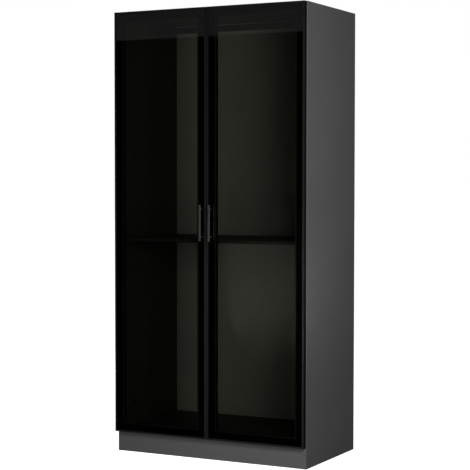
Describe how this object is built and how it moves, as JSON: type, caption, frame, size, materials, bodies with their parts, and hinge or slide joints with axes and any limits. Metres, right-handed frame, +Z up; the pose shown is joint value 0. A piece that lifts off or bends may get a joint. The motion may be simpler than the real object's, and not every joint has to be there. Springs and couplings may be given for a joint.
{
  "type": "hinged glass door wardrobe",
  "caption": "Tall free-standing wardrobe with hinged smoked glass doors in slim metal frames, a full-width shelf, a clothes rail and a plinth.",
  "frame": {"origin": "centre of the whole outline at floor level", "axes": "+Z up, the doors face -Y, +X to the right when looking at the doors"},
  "size_m": [1, 0.604, 2.11],
  "materials": {
    "graphite_board": "graphite melamine-faced board, fine satin grain",
    "back_board": "light grey lacquered hardboard",
    "dark_plastic": "matt extruded plastic",
    "beech": "fluted beech",
    "zinc": "zinc plated",
    "rail_metal": "black satin coated steel tube",
    "smoked_glass": "dark smoked toughened glass, polished",
    "black_rubber": "soft black",
    "cast_key": "as cast",
    "hinge_steel": "black nickel plated",
    "black_handle": "black satin powder coat",
    "black_frame": "black anodised, satin"
  },
  "bodies": {
    "carcass": {"back_joint_strip": "dark_plastic", "bottom_panel": "graphite_board", "cam_bolts": "zinc", "cam_discs": "zinc", "clothes_rail": "rail_metal", "front_plinth": "graphite_board", "left_hinge_arm_1": "hinge_steel", "left_hinge_arm_2": "hinge_steel", "left_hinge_arm_3": "hinge_steel", "left_hinge_arm_4": "hinge_steel", "left_hinge_plates": "hinge_steel", "left_rail_socket": "rail_metal", "left_side_panel": "graphite_board", "lower_back_panel": "back_board", "middle_shelf": "graphite_board", "rear_plinth": "graphite_board", "right_hinge_arm_1": "hinge_steel", "right_hinge_arm_2": "hinge_steel", "right_hinge_arm_3": "hinge_steel", "right_hinge_arm_4": "hinge_steel", "right_hinge_plates": "hinge_steel", "right_rail_socket": "rail_metal", "right_side_panel": "graphite_board", "shelf_pins": "zinc", "top_panel": "graphite_board", "upper_back_panel": "back_board", "wooden_dowels": "beech"},
    "left_door": {"left_door_bottom_rail": "black_frame", "left_door_buffers": "black_rubber", "left_door_corner_keys": "cast_key", "left_door_gasket": "black_rubber", "left_door_glass": "smoked_glass", "left_door_hinge_stile": "black_frame", "left_door_meeting_stile": "black_frame", "left_door_top_rail": "black_frame", "left_handle_bar": "black_handle", "left_handle_posts": "black_handle", "left_hinge_cup_1": "hinge_steel", "left_hinge_cup_2": "hinge_steel", "left_hinge_cup_3": "hinge_steel", "left_hinge_cup_4": "hinge_steel", "left_hinge_pins": "hinge_steel"},
    "right_door": {"right_door_bottom_rail": "black_frame", "right_door_buffers": "black_rubber", "right_door_corner_keys": "cast_key", "right_door_gasket": "black_rubber", "right_door_glass": "smoked_glass", "right_door_hinge_stile": "black_frame", "right_door_meeting_stile": "black_frame", "right_door_top_rail": "black_frame", "right_handle_bar": "black_handle", "right_handle_posts": "black_handle", "right_hinge_cup_1": "hinge_steel", "right_hinge_cup_2": "hinge_steel", "right_hinge_cup_3": "hinge_steel", "right_hinge_cup_4": "hinge_steel", "right_hinge_pins": "hinge_steel"}
  },
  "joints": [
    {"name": "left_door_swing", "type": "hinge", "parent": "carcass", "child": "left_door", "pos_m": [-0.489, -0.2665, 1.1], "axis": [0, 0, -1], "range_deg": [0, 105]},
    {"name": "right_door_swing", "type": "hinge", "parent": "carcass", "child": "right_door", "pos_m": [0.489, -0.2665, 1.1], "axis": [0, 0, 1], "range_deg": [0, 105]}
  ]
}
